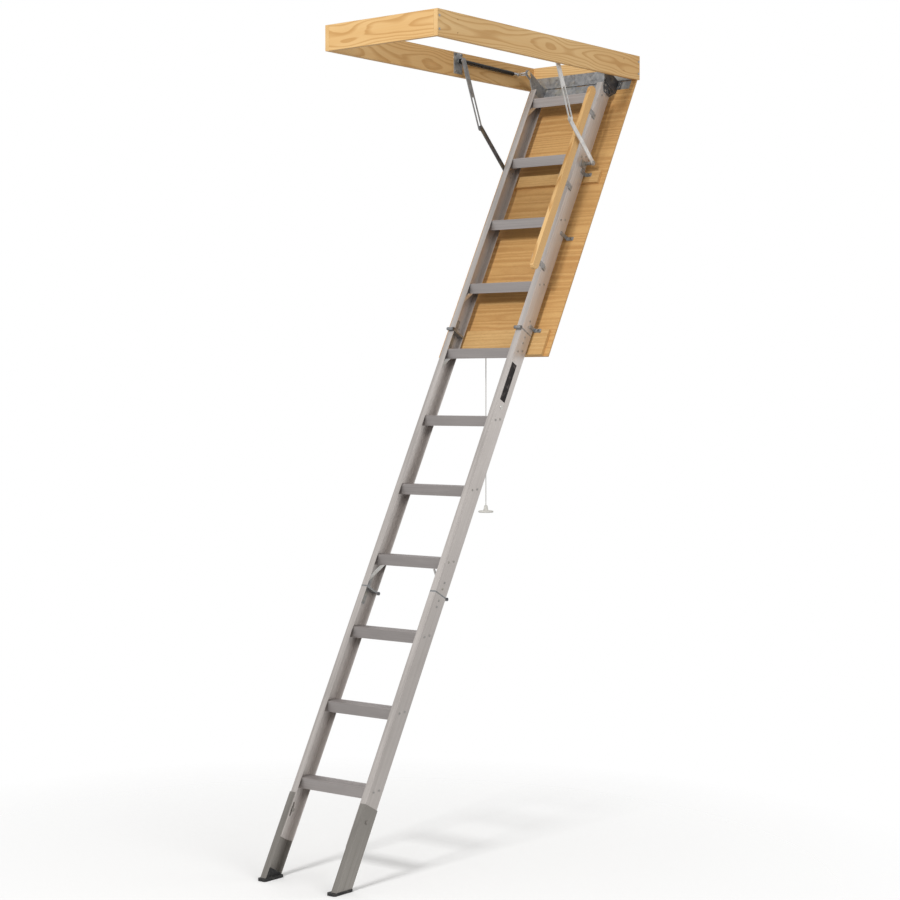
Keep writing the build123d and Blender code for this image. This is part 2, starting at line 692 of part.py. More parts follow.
# ---------------------------------------------------------------- safety arms and struts
def build_safety_arms():
    top_x, top_z = ARM_TOP
    knee_x, knee_z = ARM_KNEE
    foot_x, foot_z = from_ladder(*ARM_FOOT)
    length = hypot(knee_x - top_x, knee_z - top_z)
    ux, uz = (knee_x - top_x) / length, (knee_z - top_z) / length
    slot_x, slot_z = knee_x - ux * ARM_SLOT_TRAVEL, knee_z - uz * ARM_SLOT_TRAVEL
    for name, side in (("left", 1), ("right", -1)):
        y0, y1 = side * ARM_UPPER_Y[0], side * ARM_UPPER_Y[1]
        upper = capsule_y(top_x, top_z, knee_x, knee_z, ARM_HALF, y0, y1)
        upper = upper - capsule_y(slot_x, slot_z, knee_x, knee_z, ARM_SLOT_HALF, y0, y1)
        upper = upper - rod_y(top_x, top_z, y0, y1, 4.0 + RUNNING_GAP)
        upper = upper - rod_y(top_x, top_z, y0, y0 + side * 2.1, 7.5)
        save(f"safety_arm_upper_{name}", upper)
        z0, z1 = side * ARM_LOWER_Y[0], side * ARM_LOWER_Y[1]
        lower = capsule_y(knee_x, knee_z, foot_x, foot_z, ARM_HALF - 1.5, z0, z1)
        lower = lower - rod_y(foot_x, foot_z, z0, z1, 5.0 + RUNNING_GAP)
        pin = rod_y(knee_x, knee_z, z1, y1 + side * 0.5, ARM_PIN_R)
        pin = pin + rod_y(knee_x, knee_z, y1 + side * 0.5, y1 + side * 2.5, 9.0)
        save(f"safety_arm_lower_{name}", lower + pin)


def build_struts():
    top_x, top_z = ARM_TOP
    tip_x, tip_z = STRUT_TIP
    length = hypot(tip_x - top_x, tip_z - top_z)
    turn = degrees(atan2(tip_z - top_z, tip_x - top_x))
    place = Pos(top_x, 0, top_z) * Rot(0, -turn, 0)
    for name, side in (("left", 1), ("right", -1)):
        y = side * STRUT_Y
        tube = rod_x(y, 0, TUBE[0], TUBE[1], TUBE_R)
        tube = tube + rod_y(0, 0, y - 5, y + 5, 10.0) + rod_x(y, 0, 6, TUBE[0], 5.0)
        tube = tube - rod_x(y, 0, TUBE[0] + 6, TUBE[1] - 8, CHAMBER_R)
        tube = tube - rod_x(y, 0, TUBE[1] - 9, TUBE[1] + 1, ROD_R + RUNNING_GAP)
        tube = tube - rod_y(0, 0, y - 6, y + 6, 5.0 + RUNNING_GAP)
        save(f"strut_cylinder_{name}", place * tube)
        rod = rod_x(y, 0, PISTON[0], length - 8, ROD_R)
        rod = rod + rod_x(y, 0, PISTON[0], PISTON[1], CHAMBER_R - RUNNING_GAP)
        rod = rod + rod_x(y, 0, TUBE[1] + 4, length - 8, 8.0)
        rod = rod + rod_y(length, 0, y - 8, y + 8, 11.0)
        rod = rod + rod_y(length, 0, y - side * 8, side * (POWER_ARM_Y[1] + 0.6), 7.0)
        head = side * (POWER_ARM_Y[0] - 0.6)
        rod = rod + rod_y(length, 0, side * (POWER_ARM_Y[1] + 0.6), head, STRUT_PIN_R)
        rod = rod + rod_y(length, 0, head, head - side * 4, 10.5)
        save(f"strut_rod_{name}", place * rod)


# ---------------------------------------------------------------- feet
def foot_slots():
    """Slots in the lower rails' webs, for the bolts of the sliding feet."""
    slots = []
    middle = (RAIL_BACK + RAIL_FRONT) / 2
    half = BOLT_R + 0.4
    low, high = SLEEVE_BOLT - FOOT_UP, SLEEVE_BOLT + FOOT_DOWN
    for _, side in SIDES:
        y0, y1 = side * (HALF_WIDTH - WALL - 1), side * (HALF_WIDTH + 1)
        slot = block(low, high, y0, y1, middle - half, middle + half)
        slots.append(slot + rod_y(low, middle, y0, y1, half) + rod_y(high, middle, y0, y1, half))
    return slots


def build_feet():
    middle = (RAIL_BACK + RAIL_FRONT) / 2
    foot_s, foot_z = (AXIS_Z - FLOOR + C * middle) / S, FLOOR
    foot_x = from_ladder(foot_s, middle)[0]
    pad_length, pad_width, pad_height = PAD
    below = block(-3000, 1000, -400, 400, FLOOR - 600, FLOOR + pad_height)
    for name, side in SIDES:
        web0, web1 = HALF_WIDTH + SLEEVE_GAP, HALF_WIDTH + SLEEVE_GAP + WALL
        back0, back1 = RAIL_BACK - SLEEVE_GAP - WALL, RAIL_BACK - SLEEVE_GAP
        front0, front1 = RAIL_FRONT + SLEEVE_GAP, RAIL_FRONT + SLEEVE_GAP + WALL
        lip, end = HALF_WIDTH - FLANGE + 4, foot_s + 120
        sleeve = block(SLEEVE_START, end, side * web0, side * web1, back0, front1)
        sleeve = sleeve + block(SLEEVE_START, end, side * lip, side * web0, back0, back1)
        sleeve = sleeve + block(SLEEVE_START, end, side * lip, side * web0, front0, front1)
        bolt = rod_y(SLEEVE_BOLT, middle, side * (web1 + 4), side * 177, BOLT_R)
        bolt = bolt + rod_y(SLEEVE_BOLT, middle, side * web1, side * (web1 + 4), 7.0)
        bolt = bolt + rod_y(SLEEVE_BOLT, middle, side * 177, side * (HALF_WIDTH - WALL - 0.4), 8.0)
        sleeve = on_ladder(sleeve - bolt) - below
        save(f"foot_sleeve_{name}", [sleeve, on_ladder(bolt)])
        plug = block(foot_s - 36, end, side * (lip + 2), side * (web0 - 0.1), back1 + 0.5, front0 - 0.5)
        plug = on_ladder(plug) - below
        y = -side * (HALF_WIDTH + 2.5 - FLANGE / 2 - 3)
        pad = block(foot_x - pad_length / 2, foot_x + pad_length / 2, y - pad_width / 2, y + pad_width / 2,
                    FLOOR, FLOOR + pad_height)
        pad = fillet(pad.edges().filter_by(Axis.Z), 8.0)
        save(f"foot_shoe_{name}", plug + pad)


# ---------------------------------------------------------------- pull cord
def build_cord():
    s, y = CORD_HOLE
    wire = PANEL_FACE - PANEL_THICKNESS - 2 - 2 * EYE_R
    x, z = from_ladder(s, wire)
    loop = Pos(x, y, z) * Rot(90, 0, 0) * Torus(LOOP_R, CORD_R)
    knot_z = z - LOOP_R - 5
    knot = Pos(x, y, knot_z) * Sphere(5.0)
    cord = loop + knot + rod_z(x, y, CORD_END, knot_z, CORD_R)
    save("pull_cord", cord)
    disc = rod_z(x, y, CORD_END - 30, CORD_END - 22, 31.0)
    disc = fillet(disc.edges(), 3.5)
    stem = Pos(x, y, CORD_END - 11) * Cone(11.0, 6.0, 22.0)
    save("pull_handle", disc + stem)


build_frame()
fasteners = build_door()
fasteners = [on_ladder(item) for item in fasteners + build_sections()]
save("upper_fasteners", fasteners)
build_label()
build_handrail()
build_safety_arms()
build_struts()
build_feet()
build_cord()
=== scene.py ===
import math

import bmesh
import bpy
from mathutils import Matrix, Vector


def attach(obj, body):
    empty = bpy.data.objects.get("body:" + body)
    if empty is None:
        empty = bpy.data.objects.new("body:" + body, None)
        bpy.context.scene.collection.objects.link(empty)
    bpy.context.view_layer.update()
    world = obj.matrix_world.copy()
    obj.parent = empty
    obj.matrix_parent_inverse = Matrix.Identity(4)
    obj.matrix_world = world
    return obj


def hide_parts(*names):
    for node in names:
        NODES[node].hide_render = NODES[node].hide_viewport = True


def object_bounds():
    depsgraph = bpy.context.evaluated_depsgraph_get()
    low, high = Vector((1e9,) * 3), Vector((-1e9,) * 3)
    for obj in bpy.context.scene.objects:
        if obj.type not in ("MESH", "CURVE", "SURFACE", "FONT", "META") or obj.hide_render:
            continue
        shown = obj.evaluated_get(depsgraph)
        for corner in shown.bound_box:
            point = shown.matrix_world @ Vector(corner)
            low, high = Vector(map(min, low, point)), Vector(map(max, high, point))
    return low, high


# Looks for the folding attic ladder.  Metres, in the row frame: X along the ceiling frame towards
# the hinge, Y across, Z up; the origin is the centre of the frame's underside.

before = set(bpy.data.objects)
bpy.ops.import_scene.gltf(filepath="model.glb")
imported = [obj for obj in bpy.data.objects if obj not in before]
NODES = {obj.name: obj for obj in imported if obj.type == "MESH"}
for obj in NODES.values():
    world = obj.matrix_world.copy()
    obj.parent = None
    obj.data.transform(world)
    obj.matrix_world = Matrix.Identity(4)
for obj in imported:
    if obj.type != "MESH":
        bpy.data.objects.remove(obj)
CAD_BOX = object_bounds()

# The ladder frame: s runs down the ladder from the door's hinge axis, off towards the climber.
SLOPE = math.radians(61.5)
AXIS = Vector((0.6545, 0.0, 0.003))
DOWN = Vector((-math.cos(SLOPE), 0.0, -math.sin(SLOPE)))
OUT = Vector((-math.sin(SLOPE), 0.0, math.cos(SLOPE)))
FLOOR_Z = CAD_BOX[0].z - 0.0005

# Turns that lay a texture's X along a piece: the ladder's length, the frame's length, and across.
ALONG_LADDER = (0.0, math.pi + SLOPE, 0.0)
ALONG_X = (0.0, 0.0, 0.0)
ALONG_Y = (0.0, 0.0, -math.pi / 2)


def ladder_point(s, off, y):
    """Row-frame point from distance down the ladder, height off the hinge axis and Y."""
    return AXIS + DOWN * s + OUT * off + Vector((0.0, y, 0.0))


# ---------------------------------------------------------------- material graphs
class Graph:
    """One material's nodes, ending in its Principled shader."""

    def __init__(self, name, **surface):
        self.material = bpy.data.materials.new(name)
        self.material.use_nodes = True
        self.tree = self.material.node_tree
        self.shader = self.tree.nodes["Principled BSDF"]
        for socket, value in surface.items():
            self.shader.inputs[socket.replace("_", " ")].default_value = value

    def add(self, kind, inputs=None, **settings):
        """A node with its settings; an input is a value or another node's output."""
        node = self.tree.nodes.new("ShaderNode" + kind)
        for key, value in settings.items():
            setattr(node, key, value)
        for key, value in (inputs or {}).items():
            self.put(value, node.inputs[key])
        return node

    def put(self, value, socket):
        if isinstance(value, bpy.types.NodeSocket):
            self.tree.links.new(value, socket)
        else:
            socket.default_value = value

    def place(self, turn, scale=(1, 1, 1), shift=(0, 0, 0)):
        """Object coordinates, turned so that X lies along the piece and then stretched."""
        here = self.add("TexCoord").outputs["Object"]
        turned = self.add("Mapping", {"Vector": here, "Rotation": turn}).outputs[0]
        return self.add("Mapping", {"Vector": turned, "Location": shift, "Scale": scale}).outputs[0]

    def noise(self, vector, scale, detail=3.0, roughness=0.5, distortion=0.0):
        inputs = {"Vector": vector, "Scale": scale, "Detail": detail}
        inputs.update({"Roughness": roughness, "Distortion": distortion})
        return self.add("TexNoise", inputs)

    def math(self, operation, a, b=0.0, c=0.0):
        return self.add("Math", {0: a, 1: b, 2: c}, operation=operation).outputs[0]

    def span(self, value, low, high, to_low=0.0, to_high=1.0):
        """A value's range mapped to another, clamped."""
        inputs = {"Value": value, "From Min": low, "From Max": high}
        inputs.update({"To Min": to_low, "To Max": to_high})
        return self.add("MapRange", inputs).outputs[0]

    def ramp(self, value, stops):
        """Colour ramp; each stop is a place and a colour."""
        node = self.add("ValToRGB", {"Fac": value})
        points = node.color_ramp.elements
        while len(points) < len(stops):
            points.new(0.5)
        for point, (place, colour) in zip(points, stops):
            point.position = place
            point.color = (*colour, 1.0)
        return node.outputs["Color"]

    def mix(self, factor, a, b, blend="MIX"):
        node = self.add("Mix", data_type="RGBA", blend_type=blend)
        for key, value in ((0, factor), (6, a), (7, b)):
            if isinstance(value, tuple):
                value = (*value, 1.0)
            self.put(value, node.inputs[key])
        return node.outputs[2]

    def edges(self, radius):
        """1 along edges sharper than a bevel of this radius, 0 on flat faces."""
        rounded = self.add("Bevel", {"Radius": radius}, samples=4).outputs[0]
        true_normal = self.add("NewGeometry").outputs["Normal"]
        dot = self.add("VectorMath", {0: rounded, 1: true_normal}, operation="DOT_PRODUCT")
        return self.span(dot.outputs["Value"], 0.995, 0.85)

    def bump(self, height, strength, distance):
        inputs = {"Height": height, "Strength": strength, "Distance": distance}
        node = self.add("Bump", inputs)
        self.put(node.outputs[0], self.shader.inputs["Normal"])

    def finish(self, colour, roughness):
        self.put(colour, self.shader.inputs["Base Color"])
        self.put(roughness, self.shader.inputs["Roughness"])
        return self.material


def pine(name, turn, pith, seed, early, late):
    """Flat-sawn softwood: growth rings round a pith line behind the board, wandering along it."""
    g = Graph(name, Specular_IOR_Level=0.35)
    flow = g.place(turn, (1.6, 5.0, 5.0), (seed, seed * 0.7, 0.0))
    wander = g.noise(flow, 1.0, 2.0, 0.5).outputs["Color"]
    centred = g.add("VectorMath", {0: wander, 1: (0.5, 0.5, 0.5)}, operation="SUBTRACT")
    shift = g.add("VectorMath", {0: centred.outputs[0], 1: (0.0, 0.08, 0.08)}, operation="MULTIPLY")
    here = g.place(turn, shift=pith)
    moved = g.add("VectorMath", {0: here, 1: shift.outputs[0]}, operation="ADD").outputs[0]
    across = g.add("VectorMath", {0: moved, 1: (0.025, 1.0, 1.0)}, operation="MULTIPLY").outputs[0]
    radius = g.add("VectorMath", {0: across}, operation="LENGTH").outputs["Value"]
    uneven = g.noise(g.place(turn, (3.0, 40.0, 40.0), (seed, 0, 0)), 1.0, 3.0).outputs[0]
    ring = g.math("ADD", g.math("MULTIPLY", radius, 1 / 0.0062), g.math("MULTIPLY", uneven, 0.5))
    phase = g.math("FRACT", ring)
    spread = g.noise(g.place(turn, (1.2, 9.0, 9.0), (0, seed, 0)), 1.0, 2.0).outputs[0]
    band = g.ramp(phase, ((0.0, early), (0.5, early), (0.82, late), (0.93, late), (1.0, early)))
    tint = g.mix(g.span(spread, 0.35, 0.7), (1.0, 1.0, 1.0), (0.86, 0.76, 0.62))
    colour = g.mix(1.0, band, tint, "MULTIPLY")
    fibre = g.noise(g.place(turn, (9.0, 900.0, 900.0)), 1.0, 2.0, 0.6).outputs[0]
    streak = g.noise(g.place(turn, (2.5, 160.0, 160.0)), 1.0, 3.0, 0.6).outputs[0]
    colour = g.mix(g.span(fibre, 0.45, 0.75, 0.0, 0.35), colour, late)
    colour = g.mix(g.span(streak, 0.55, 0.75, 0.0, 0.4), colour, (0.72, 0.50, 0.24))
    # The board's sharp edges are darkened towards brown.
    darkened_edges = g.edges(0.0025)
    colour = g.mix(g.math("MULTIPLY", darkened_edges, 0.35), colour, (0.30, 0.17, 0.06))
    relief = g.math("ADD", g.math("MULTIPLY", phase, 0.6), g.math("MULTIPLY", fibre, 0.5))
    g.bump(relief, 0.35, 0.0006)
    return g.finish(colour, g.span(fibre, 0.3, 0.7, 0.50, 0.66))


def veneer(name, turn, light, dark, shift):
    """Rotary-cut plywood face: broad wavy figure with short dark pores."""
    g = Graph(name, Specular_IOR_Level=0.3)
    warp = g.noise(g.place(turn, (2.2, 7.0, 7.0), shift), 1.0, 3.0, 0.55, 0.8).outputs[0]
    place = g.place(turn, (0.9, 26.0, 26.0), shift)
    waves = g.add(
        "TexWave",
        {"Vector": place, "Scale": 0.42, "Distortion": 9.0, "Detail": 3.0, "Detail Scale": 0.7},
        bands_direction="Y",
    ).outputs["Fac"]
    colour = g.ramp(g.math("MULTIPLY_ADD", warp, 0.55, g.math("MULTIPLY", waves, 0.45)),
                    ((0.25, dark), (0.45, light), (0.62, dark), (0.8, light)))
    pores = g.noise(g.place(turn, (55.0, 1400.0, 1400.0), shift), 1.0, 1.0, 0.4).outputs[0]
    colour = g.mix(g.span(pores, 0.60, 0.72, 0.0, 0.55), colour, (0.26, 0.13, 0.045))
    cloud = g.noise(g.place(turn, (3.0, 3.0, 3.0), shift), 1.0, 2.0).outputs[0]
    colour = g.mix(g.span(cloud, 0.35, 0.7, 0.0, 0.5), colour, (0.60, 0.33, 0.11))
    # The panel's sharp edges are darkened towards brown.
    darkened_edges = g.edges(0.0015)
    colour = g.mix(g.math("MULTIPLY", darkened_edges, 0.3), colour, (0.25, 0.14, 0.05))
    g.bump(g.math("ADD", pores, g.math("MULTIPLY", waves, 0.3)), 0.3, 0.0004)
    return g.finish(colour, g.span(pores, 0.4, 0.7, 0.52, 0.7))


def mill_aluminium(name, turn, colour, dark, streak_scale=1.0):
    """Extruded aluminium: die lines along the piece, faint oxide clouds and handling scuffs."""
    g = Graph(name, Metallic=0.75, Anisotropic=0.3, Specular_IOR_Level=0.3)
    lines = g.noise(g.place(turn, (2.0, 700.0 * streak_scale, 700.0 * streak_scale)), 1.0, 3.0, 0.6)
    lines = lines.outputs[0]
    cloud = g.noise(g.place(turn, (6.0, 18.0, 18.0)), 1.0, 4.0, 0.6, 0.4).outputs[0]
    scuff = g.noise(g.place(turn, (90.0, 260.0, 260.0)), 1.0, 2.0, 0.7, 1.5).outputs[0]
    base = g.mix(g.span(lines, 0.3, 0.7), dark, colour)
    base = g.mix(g.span(cloud, 0.45, 0.75, 0.0, 0.45), base, dark)
    worn = g.edges(0.0012)
    bright = tuple(min(1.0, c * 1.35) for c in colour)
    base = g.mix(g.math("MULTIPLY", worn, 0.6), base, bright)
    rough = g.math("ADD", g.span(lines, 0.3, 0.7, 0.38, 0.48), g.span(scuff, 0.5, 0.8, 0.0, 0.14))
    g.bump(g.math("ADD", lines, g.math("MULTIPLY", scuff, 0.25)), 0.25, 0.0003)
    return g.finish(base, rough)


def plated_steel(name, colour, shadow, roughness):
    """Zinc plate: soft grey mottling, faint yellow passivation and bright rubbed edges."""
    g = Graph(name, Metallic=0.75, Specular_IOR_Level=0.35)
    here = g.place(ALONG_X)
    mottle = g.noise(here, 60.0, 5.0, 0.6, 0.3).outputs[0]
    cells = g.add("TexVoronoi", {"Vector": here, "Scale": 140.0}).outputs["Color"]
    grey = g.add("RGBToBW", {"Color": cells}).outputs[0]
    base = g.mix(g.span(mottle, 0.35, 0.65), shadow, colour)
    base = g.mix(g.math("MULTIPLY", grey, 0.12), base, tuple(c * 1.2 for c in colour))
    tinge = g.noise(here, 22.0, 2.0).outputs[0]
    base = g.mix(g.span(tinge, 0.5, 0.75, 0.0, 0.35), base, (0.52, 0.47, 0.33))
    worn = g.edges(0.001)
    base = g.mix(g.math("MULTIPLY", worn, 0.7), base, (0.78, 0.78, 0.77))
    grit = g.noise(here, 420.0, 2.0).outputs[0]
    g.bump(g.math("ADD", grit, grey), 0.2, 0.0002)
    return g.finish(base, g.span(mottle, 0.3, 0.7, roughness - 0.07, roughness + 0.1))


def polished_steel(name):
    g = Graph(name, Metallic=1.0)
    lines = g.noise(g.place(ALONG_X, (8.0, 900.0, 900.0)), 1.0, 2.0).outputs[0]
    base = g.ramp(lines, ((0.3, (0.62, 0.62, 0.63)), (0.7, (0.80, 0.80, 0.81))))
    g.bump(lines, 0.1, 0.0001)
    return g.finish(base, g.span(lines, 0.3, 0.7, 0.12, 0.2))


def black_paint(name):
    """Gloss black tube with a little dust and rubbed ends."""
    g = Graph(name, Coat_Weight=0.12, Coat_Roughness=0.3, Specular_IOR_Level=0.3)
    here = g.place(ALONG_X)
    peel = g.noise(here, 500.0, 2.0).outputs[0]
    dust = g.noise(here, 28.0, 4.0, 0.6).outputs[0]
    base = g.mix(g.span(dust, 0.5, 0.8, 0.0, 0.5), (0.006, 0.006, 0.006), (0.022, 0.02, 0.018))
    worn = g.edges(0.001)
    base = g.mix(g.math("MULTIPLY", worn, 0.5), base, (0.20, 0.20, 0.20))
    g.bump(peel, 0.12, 0.0002)
    return g.finish(base, g.span(dust, 0.4, 0.7, 0.22, 0.38))


def rubber(name):
    g = Graph(name, Specular_IOR_Level=0.35)
    here = g.place(ALONG_X)
    grain = g.noise(here, 900.0, 3.0, 0.6).outputs[0]
    scuff = g.noise(here, 45.0, 4.0, 0.65, 0.5).outputs[0]
    base = g.mix(g.span(scuff, 0.5, 0.75), (0.018, 0.018, 0.019), (0.075, 0.072, 0.067))
    base = g.mix(g.math("MULTIPLY", g.edges(0.002), 0.5), base, (0.13, 0.125, 0.115))
    g.bump(grain, 0.35, 0.0004)
    return g.finish(base, g.span(scuff, 0.4, 0.7, 0.62, 0.82))


def moulded_plastic(name, colour, speck, roughness):
    g = Graph(name, Specular_IOR_Level=0.45)
    here = g.place(ALONG_X)
    grain = g.noise(here, 700.0, 2.0).outputs[0]
    cloud = g.noise(here, 30.0, 3.0).outputs[0]
    base = g.mix(g.span(cloud, 0.4, 0.7), colour, speck)
    g.bump(grain, 0.2, 0.0002)
    return g.finish(base, g.span(grain, 0.3, 0.7, roughness, roughness + 0.12))


def label_film(name):
    """Dark printed film with a row of blank pale panels and no lettering."""
    g = Graph(name, Specular_IOR_Level=0.25)
    here = g.place(ALONG_LADDER)
    along = g.add("SeparateXYZ", {"Vector": here})
    steps = g.math("FRACT", g.math("MULTIPLY", along.outputs["X"], 1 / 0.042))
    panel = g.math("COMPARE", steps, 0.5, 0.22)
    patch = g.noise(here, 48.0, 2.0, 0.6).outputs[0]
    pale = g.math("MULTIPLY", panel, g.span(patch, 0.48, 0.60))
    base = g.mix(g.span(patch, 0.35, 0.65), (0.010, 0.008, 0.008), (0.026, 0.019, 0.018))
    base = g.mix(g.math("MULTIPLY", pale, 0.7), base, (0.10, 0.085, 0.08))
    grain = g.noise(here, 700.0, 2.0).outputs[0]
    g.bump(grain, 0.15, 0.0001)
    return g.finish(base, g.span(grain, 0.3, 0.7, 0.5, 0.62))


def braided_cord(name):
    """Braided nylon: two crossing sets of fine slanted strands."""
    g = Graph(name, Specular_IOR_Level=0.3, Sheen_Weight=0.3)
    strands = []
    for slant in (0.6, -0.6):
        place = g.place((slant, slant, 0.0), (1.0, 1.0, 1.0))
        wave = g.add("TexWave", {"Vector": place, "Scale": 190.0}, bands_direction="Z")
        strands.append(wave.outputs["Fac"])
    weave = g.math("MULTIPLY", strands[0], strands[1])
    # The gaps between strands are painted darker as painted shade; the raised strands are lighter.
    base = g.mix(g.span(weave, 0.1, 0.7), (0.50, 0.49, 0.46), (0.86, 0.85, 0.82))
    g.bump(weave, 0.6, 0.0006)
    return g.finish(base, 0.75)


PINE_EARLY, PINE_LATE = (0.76, 0.51, 0.235), (0.60, 0.355, 0.135)
MATERIALS = {
    "side_left": pine("pine_side_left", ALONG_X, (0.0, -0.34, -0.02), 2.3, PINE_EARLY, PINE_LATE),
    "side_right": pine("pine_side_right", ALONG_X, (0.0, 0.335, -0.05), 7.9, PINE_EARLY, PINE_LATE),
    "end_free": pine("pine_end_free", ALONG_Y, (0.0, -0.76, -0.05), 4.4, PINE_EARLY, PINE_LATE),
    "end_hinge": pine("pine_end_hinge", ALONG_Y, (0.0, 0.60, -0.04), 5.6, PINE_EARLY, PINE_LATE),
    "handrail": pine("pine_handrail", ALONG_LADDER, (0.0, 0.24, 0.12), 1.4,
                     (0.80, 0.54, 0.25), (0.60, 0.34, 0.12)),
    "panel": veneer("plywood_panel", ALONG_Y,
                    (0.66, 0.40, 0.155), (0.49, 0.255, 0.085), (0.3, 0.1, 0.0)),
    "battens": veneer("plywood_battens", ALONG_Y,
                      (0.68, 0.44, 0.19), (0.55, 0.32, 0.12), (0.9, 0.4, 0.2)),
    "rails": mill_aluminium("mill_aluminium_rails", ALONG_LADDER,
                            (0.66, 0.62, 0.595), (0.50, 0.465, 0.44)),
    "treads": mill_aluminium("mill_aluminium_treads", ALONG_Y,
                             (0.50, 0.465, 0.455), (0.37, 0.345, 0.335)),
    "sleeves": mill_aluminium("mill_aluminium_sleeves", ALONG_LADDER,
                              (0.36, 0.34, 0.315), (0.25, 0.235, 0.215)),
    "steel": plated_steel("zinc_plated_steel", (0.40, 0.405, 0.41), (0.22, 0.225, 0.235), 0.5),
    # Lighter copy of the zinc steel: on the knee braces and the right safety arms its extra
    # brightness is painted highlight; the screw eye and the label rivet also use it.
    "bright_and_lit_steel": plated_steel("bright_and_lit_zinc", (0.78, 0.77, 0.75), (0.55, 0.54, 0.53), 0.45),
    # Darker copy of the zinc steel: on the right power arm and the lower left safety arm its
    # darkness is painted shade; the fold hinge pins also use it.
    "dark_and_shaded_steel": plated_steel("dark_and_shaded_zinc", (0.155, 0.158, 0.17), (0.075, 0.077, 0.085), 0.5),
    "fasteners": plated_steel("zinc_fasteners", (0.45, 0.44, 0.42), (0.26, 0.25, 0.24), 0.45),
    "bolt_heads": plated_steel("dark_bolt_heads", (0.20, 0.195, 0.19), (0.09, 0.088, 0.085), 0.42),
    "polished": polished_steel("polished_rod"),
    "black": black_paint("gloss_black_tube"),
    "rubber": rubber("shoe_rubber"),
    "film": label_film("dark_label_film"),
    "handle": moulded_plastic("handle_plastic", (0.62, 0.61, 0.57), (0.52, 0.51, 0.47), 0.4),
    "cord": braided_cord("braided_cord"),
}

FINISH = {
    "frame_side_board_left": "side_left",
    "frame_side_board_right": "side_right",
    "frame_end_board_free": "end_free",
    "frame_end_board_hinge": "end_hinge",
    "frame_screws": "fasteners",
    "frame_hinge_leaf": "steel",
    "door_hinge_leaf": "steel",
    "door_hinge_pin": "polished",
    "frame_anchor_plates": "steel",
    "door_panel": "panel",
    "door_battens": "battens",
    # The two power arms are one part; the right one is painted darker as painted shade.
    "power_arm_left": "steel",
    "power_arm_right": "dark_and_shaded_steel",
    "rail_brackets": "steel",
    "arm_pivot_plates": "fasteners",
    "cord_screw_eye": "bright_and_lit_steel",
    "handrail": "handrail",
    "handrail_brackets": "steel",
    # The knee brace straps get the lighter zinc as painted highlight on their lit flat faces.
    "upper_knee_braces": "bright_and_lit_steel",
    "middle_knee_braces": "bright_and_lit_steel",
    "upper_fold_hinge_leaves": "steel",
    "middle_fold_hinge_leaves": "steel",
    "lower_fold_hinge_leaves": "steel",
    "upper_fold_hinge_pins": "dark_and_shaded_steel",
    "lower_fold_hinge_pins": "dark_and_shaded_steel",
    "upper_fasteners": "fasteners",
    "middle_rivets": "fasteners",
    "lower_rivets": "fasteners",
    "blank_label_strip": "film",
    "pull_handle": "handle",
    # The safety arm links are one design on both sides: the right links are painted lighter as
    # painted highlight and the lower left link darker as painted shade.
    "safety_arm_upper_left": "steel",
    "safety_arm_lower_left": "dark_and_shaded_steel",
    "safety_arm_upper_right": "bright_and_lit_steel",
    "safety_arm_lower_right": "bright_and_lit_steel",
}
BY_START = (
    ("upper_rail", "rails"),
    ("middle_rail", "rails"),
    ("lower_rail", "rails"),
    ("tread_", "treads"),
    ("foot_sleeve", "sleeves"),
    ("foot_shoe", "rubber"),
    ("strut_cylinder", "black"),
    ("strut_rod", "polished"),
)
# Edge rounding of the carried-over nodes, in metres.
ROUNDED = {
    "frame_side_board_left": 0.002,
    "frame_side_board_right": 0.002,
    "frame_end_board_free": 0.002,
    "frame_end_board_hinge": 0.002,
    "door_panel": 0.0008,
    "door_battens": 0.0015,
}
WELD_DISTANCE = 0.00002
BEVEL_ANGLE = math.radians(50)


def finish_of(node):
    """Material of a CAD node."""
    if node in FINISH:
        return MATERIALS[FINISH[node]]
    for start, key in BY_START:
        if node.startswith(start):
            return MATERIALS[key]
    return MATERIALS["steel"]


def dress_nodes():
    for name, node in NODES.items():
        node.data.materials.clear()
        node.data.materials.append(finish_of(name))
        if name in ROUNDED:
            weld = node.modifiers.new("weld", "WELD")
            weld.merge_threshold = WELD_DISTANCE
            bevel = node.modifiers.new("bevel", "BEVEL")
            bevel.width = ROUNDED[name]
            bevel.segments = 2
            bevel.limit_method = "ANGLE"
            bevel.angle_limit = BEVEL_ANGLE


# ---------------------------------------------------------------- added pieces
def piece(name, mesh_maker, material, body):
    """New mesh object from a function that fills a bmesh, riding on a CAD body."""
    mesh = bpy.data.meshes.new(name)
    bm = bmesh.new()
    mesh_maker(bm)
    bm.to_mesh(mesh)
    bm.free()
    obj = bpy.data.objects.new(name, mesh)
    bpy.context.scene.collection.objects.link(obj)
    mesh.materials.append(MATERIALS[material])
    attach(obj, body)
    return obj


def ring_of_points(bm, matrix, radius, height, sides, phase=0.0):
    points = []
    for i in range(sides):
        angle = phase + 2 * math.pi * i / sides
        local = Vector((radius * math.cos(angle), radius * math.sin(angle), height))
        points.append(bm.verts.new(matrix @ local))
    return points


def lathe(bm, matrix, profile, sides=24, phase=0.0):
    """Closed turned shape from (radius, height) pairs; the ends are capped."""
    rings = [ring_of_points(bm, matrix, r, h, sides, phase) for r, h in profile]
    for low, high in zip(rings, rings[1:]):
        for i in range(sides):
            j = (i + 1) % sides
            bm.faces.new((low[i], low[j], high[j], high[i]))
    bm.faces.new(list(reversed(rings[0])))
    bm.faces.new(rings[-1])


def facing(point, direction):
    """Matrix that stands a turned shape on a point, with its Z along a direction."""
    return Matrix.Translation(point) @ direction.to_track_quat("Z", "Y").to_matrix().to_4x4()


# ---------------------------------------------------------------- pull cord
CORD_X, CORD_Y = 0.0557, 0.060
CORD_TOP, CORD_BOTTOM = -1.1724, -1.784
LOOP_Z = -1.16244
LOOP_R, CORD_R = 0.0048, 0.0019
